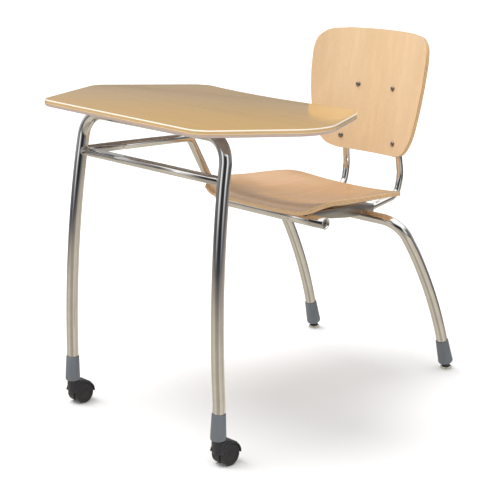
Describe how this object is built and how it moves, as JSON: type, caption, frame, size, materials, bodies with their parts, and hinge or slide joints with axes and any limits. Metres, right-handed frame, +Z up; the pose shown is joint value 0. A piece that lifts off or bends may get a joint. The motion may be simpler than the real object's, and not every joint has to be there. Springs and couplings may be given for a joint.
{
  "type": "student desk chair",
  "caption": "Student combination desk chair: hexagonal laminate work surface on a chrome tube frame with moulded plywood seat and back, twin-wheel casters and swivel glides.",
  "frame": {"origin": "on the floor, at the centre of the bounding box seen from above", "axes": "+Z up; the sitter faces -Y, so the casters are towards -Y and the back towards +Y, and the sitter's right hand, with the connecting rail, is on -X"},
  "size_m": [0.783, 1.0124, 0.8733],
  "materials": {
    "desktop_laminate": "golden maple laminate, gloss, light edge band",
    "shell_plywood": "clear-lacquered maple-faced moulded plywood, satin gloss",
    "chrome_tube": "polished chrome plating",
    "bracket_steel": "satin pressed steel",
    "boot_plastic": "blue-grey moulded plastic, satin",
    "black_plastic": "black moulded plastic, satin",
    "screw_steel": "dark zinc-plated steel",
    "glide_metal": "bright plated steel"
  },
  "bodies": {
    "frame": {"back_hoop": "chrome_tube", "back_screw_lower_left": "screw_steel", "back_screw_lower_right": "screw_steel", "back_screw_upper_left": "screw_steel", "back_screw_upper_right": "screw_steel", "back_shell": "shell_plywood", "beam_plug": "black_plastic", "caster_stem_left": "glide_metal", "caster_stem_right": "glide_metal", "connecting_rail": "chrome_tube", "desktop": "desktop_laminate", "front_boot_left": "boot_plastic", "front_boot_right": "boot_plastic", "front_crossbar": "chrome_tube", "front_leg_frame": "chrome_tube", "glide_stem_left": "glide_metal", "glide_stem_right": "glide_metal", "rear_boot_left": "boot_plastic", "rear_boot_right": "boot_plastic", "rear_leg_arch": "chrome_tube", "seat_beam": "chrome_tube", "seat_bracket_left": "bracket_steel", "seat_bracket_right": "bracket_steel", "seat_pad_left": "black_plastic", "seat_pad_right": "black_plastic", "seat_screw_left_1": "screw_steel", "seat_screw_left_2": "screw_steel", "seat_screw_right_1": "screw_steel", "seat_screw_right_2": "screw_steel", "seat_shell": "shell_plywood", "top_arm_left": "chrome_tube", "top_arm_right": "chrome_tube", "top_screw_left_1": "screw_steel", "top_screw_left_2": "screw_steel", "top_screw_left_3": "screw_steel", "top_screw_right_1": "screw_steel", "top_screw_right_2": "screw_steel", "top_screw_right_3": "screw_steel"},
    "caster_right": {"caster_body_right": "black_plastic", "caster_axle_right": "glide_metal"},
    "wheel_right_a": {"caster_wheel_right_a": "black_plastic"},
    "wheel_right_b": {"caster_wheel_right_b": "black_plastic"},
    "caster_left": {"caster_body_left": "black_plastic", "caster_axle_left": "glide_metal"},
    "wheel_left_a": {"caster_wheel_left_a": "black_plastic"},
    "wheel_left_b": {"caster_wheel_left_b": "black_plastic"},
    "glide_socket_right": {"glide_socket_right": "black_plastic"},
    "glide_cup_right": {"glide_cup_right": "glide_metal"},
    "glide_socket_left": {"glide_socket_left": "black_plastic"},
    "glide_cup_left": {"glide_cup_left": "glide_metal"}
  },
  "joints": [
    {"name": "caster_swivel_right", "type": "hinge", "parent": "frame", "child": "caster_right", "pos_m": [-0.24115, -0.41545, 0.0478], "axis": [0, 0, 1], "continuous": true},
    {"name": "wheel_spin_right_a", "type": "hinge", "parent": "caster_right", "child": "wheel_right_a", "pos_m": [-0.24115, -0.39195, 0.025], "axis": [1, 0, 0], "continuous": true},
    {"name": "wheel_spin_right_b", "type": "hinge", "parent": "caster_right", "child": "wheel_right_b", "pos_m": [-0.24115, -0.39195, 0.025], "axis": [1, 0, 0], "continuous": true},
    {"name": "caster_swivel_left", "type": "hinge", "parent": "frame", "child": "caster_left", "pos_m": [0.25985, -0.41545, 0.0478], "axis": [0, 0, 1], "continuous": true},
    {"name": "wheel_spin_left_a", "type": "hinge", "parent": "caster_left", "child": "wheel_left_a", "pos_m": [0.25985, -0.39195, 0.025], "axis": [1, 0, 0], "continuous": true},
    {"name": "wheel_spin_left_b", "type": "hinge", "parent": "caster_left", "child": "wheel_left_b", "pos_m": [0.25985, -0.39195, 0.025], "axis": [1, 0, 0], "continuous": true},
    {"name": "glide_tilt_right", "type": "hinge", "parent": "frame", "child": "glide_socket_right", "pos_m": [-0.27714, 0.49116, 0.0102], "axis": [1, 0, 0], "range_deg": [-6, 6]},
    {"name": "glide_spin_right", "type": "hinge", "parent": "glide_socket_right", "child": "glide_cup_right", "pos_m": [-0.27714, 0.49116, 0.0102], "axis": [0, 0, 1], "continuous": true},
    {"name": "glide_tilt_left", "type": "hinge", "parent": "frame", "child": "glide_socket_left", "pos_m": [0.19385, 0.49116, 0.0102], "axis": [1, 0, 0], "range_deg": [-6, 6]},
    {"name": "glide_spin_left", "type": "hinge", "parent": "glide_socket_left", "child": "glide_cup_left", "pos_m": [0.19385, 0.49116, 0.0102], "axis": [0, 0, 1], "continuous": true}
  ]
}
